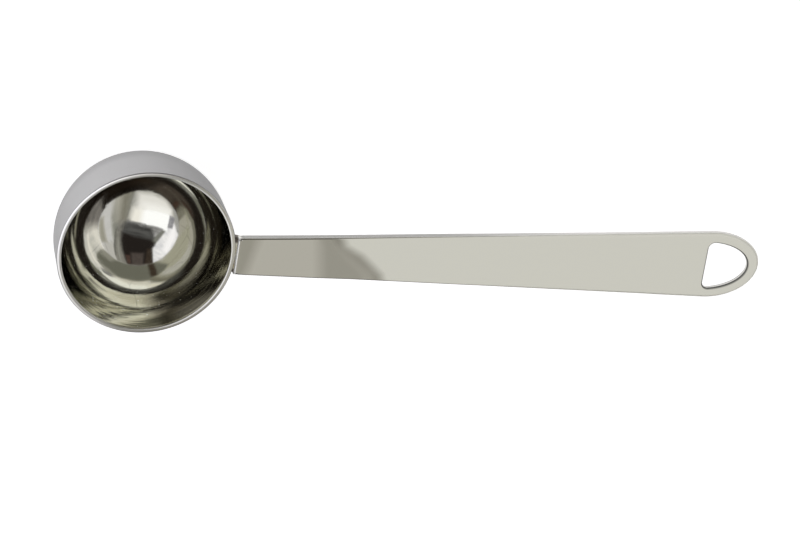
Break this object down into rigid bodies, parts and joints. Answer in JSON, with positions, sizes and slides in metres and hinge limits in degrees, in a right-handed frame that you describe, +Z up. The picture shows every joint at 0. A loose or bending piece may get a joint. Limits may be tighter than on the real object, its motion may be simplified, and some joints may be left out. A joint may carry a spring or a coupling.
{
  "type": "measuring spoon",
  "caption": "Measuring spoon with a deep round-bottomed steel bowl, welded to a flat tapered handle that ends in a loop with a D-shaped hanging hole.",
  "frame": {"origin": "centre of the rim circle, in the plane of the rim's flat top", "axes": "+Z up out of the bowl, square to the rim; +X along the handle to its hanging loop"},
  "size_m": [0.1832, 0.0448, 0.0294],
  "materials": {
    "bowl_steel": "satin outside, mirror polish inside, bright rim",
    "handle_steel": "polished, with a faint lengthwise grain",
    "weld_steel": "heat-tinted straw to brown"
  },
  "bodies": {
    "root": {"bowl": "bowl_steel", "handle": "handle_steel", "weld_bead": "weld_steel"}
  },
  "joints": []
}
